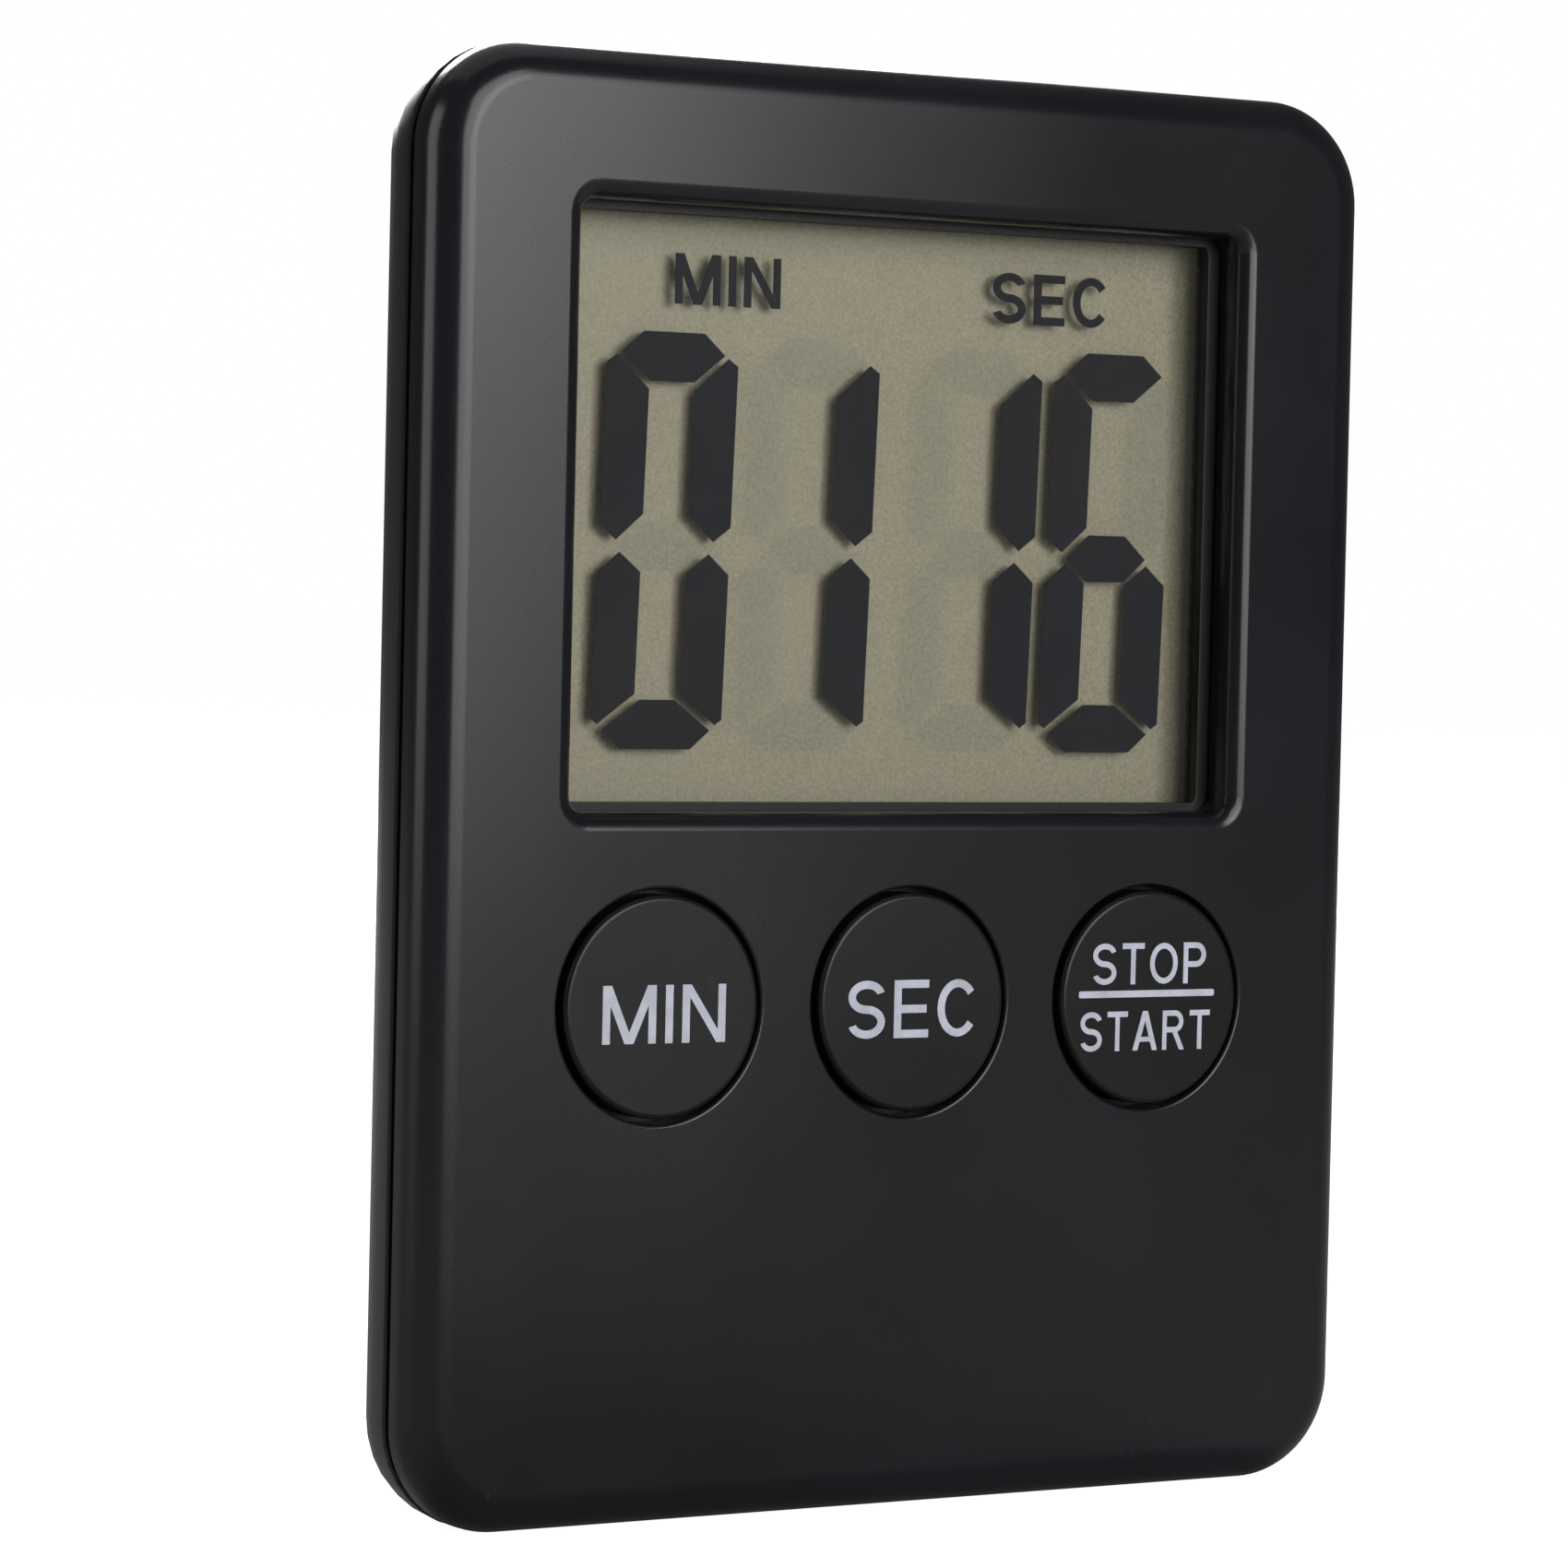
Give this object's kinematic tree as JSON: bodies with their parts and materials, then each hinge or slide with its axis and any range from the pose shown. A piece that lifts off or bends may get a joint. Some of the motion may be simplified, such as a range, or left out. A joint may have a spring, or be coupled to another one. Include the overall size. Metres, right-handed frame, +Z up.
{
  "type": "kitchen timer",
  "caption": "Slim digital kitchen timer: recessed display, round push buttons, magnets and a fold-out stand on the back.",
  "frame": {"origin": "middle of the footprint, on the surface that the timer stands on", "axes": "+Z up along the height of the case, +X to the right of someone reading the display, the display faces -Y"},
  "size_m": [0.06, 0.0098, 0.0782],
  "materials": {
    "front_shell": "satin moulded ABS with a very fine grain",
    "rear_shell": "satin moulded ABS, slightly duller than the front",
    "stand": "satin moulded ABS",
    "battery_cover": "satin moulded ABS",
    "button": "satin moulded ABS with a soft edge",
    "display_frame": "plain black moulded holder",
    "front_polariser": "clear film with a faint tan tint",
    "display_glass": "thin clear display glass",
    "reflector": "tan reflective film with a fine grain",
    "rubber_connector": "striped elastomer connector",
    "circuit_board": "green solder mask over copper traces",
    "chip_cover": "black potting blob",
    "crystal": "drawn steel can",
    "buzzer_coil": "enamelled copper winding on a ferrite core",
    "capacitor": "moulded chip capacitor with tinned ends",
    "rubber_keypad": "translucent grey silicone",
    "screw": "zinc-plated steel",
    "button_cell": "nickel-plated steel",
    "contact": "nickel-plated spring bronze",
    "buzzer_disc": "rolled brass",
    "buzzer_ceramic": "silvered ceramic layer",
    "buzzer_wire_red": "PVC insulation",
    "buzzer_wire_black": "PVC insulation",
    "magnet": "nickel-plated magnet"
  },
  "bodies": {
    "case": {"front_shell": "front_shell", "rear_shell": "rear_shell", "display_frame": "display_frame", "front_polariser": "front_polariser", "front_glass": "display_glass", "rear_glass": "display_glass", "reflector": "reflector", "rubber_connector": "rubber_connector", "circuit_board": "circuit_board", "chip_cover": "chip_cover", "crystal": "crystal", "buzzer_coil": "buzzer_coil", "capacitor": "capacitor", "rubber_keypad": "rubber_keypad", "case_screw_1": "screw", "case_screw_2": "screw", "case_screw_3": "screw", "case_screw_4": "screw", "board_screw_1": "screw", "board_screw_2": "screw", "board_screw_3": "screw", "board_screw_4": "screw", "button_cell": "button_cell", "contact_negative": "contact", "contact_positive": "contact", "buzzer_disc": "buzzer_disc", "buzzer_ceramic": "buzzer_ceramic", "buzzer_wire_red": "buzzer_wire_red", "buzzer_wire_black": "buzzer_wire_black", "magnet_left": "magnet", "magnet_right": "magnet"},
    "button_min": {"button_min": "button"},
    "button_sec": {"button_sec": "button"},
    "button_start_stop": {"button_start_stop": "button"},
    "stand": {"stand": "stand"},
    "battery_cover": {"battery_cover": "battery_cover"}
  },
  "joints": [
    {"name": "min_press", "type": "slide", "parent": "case", "child": "button_min", "axis": [0, 1, 0], "range_m": [0, 0.0005], "stiffness_N_per_m": 1500},
    {"name": "sec_press", "type": "slide", "parent": "case", "child": "button_sec", "axis": [0, 1, 0], "range_m": [0, 0.0005], "stiffness_N_per_m": 1500},
    {"name": "start_stop_press", "type": "slide", "parent": "case", "child": "button_start_stop", "axis": [0, 1, 0], "range_m": [0, 0.0005], "stiffness_N_per_m": 1500},
    {"name": "stand_swing", "type": "hinge", "parent": "case", "child": "stand", "pos_m": [0, 0.004, 0.02501], "axis": [-1, 0, 0], "range_deg": [0, 105]},
    {"name": "battery_cover_turn", "type": "hinge", "parent": "case", "child": "battery_cover", "pos_m": [0, 0.00445, 0.01326], "axis": [0, 1, 0], "range_deg": [0, 60]}
  ]
}
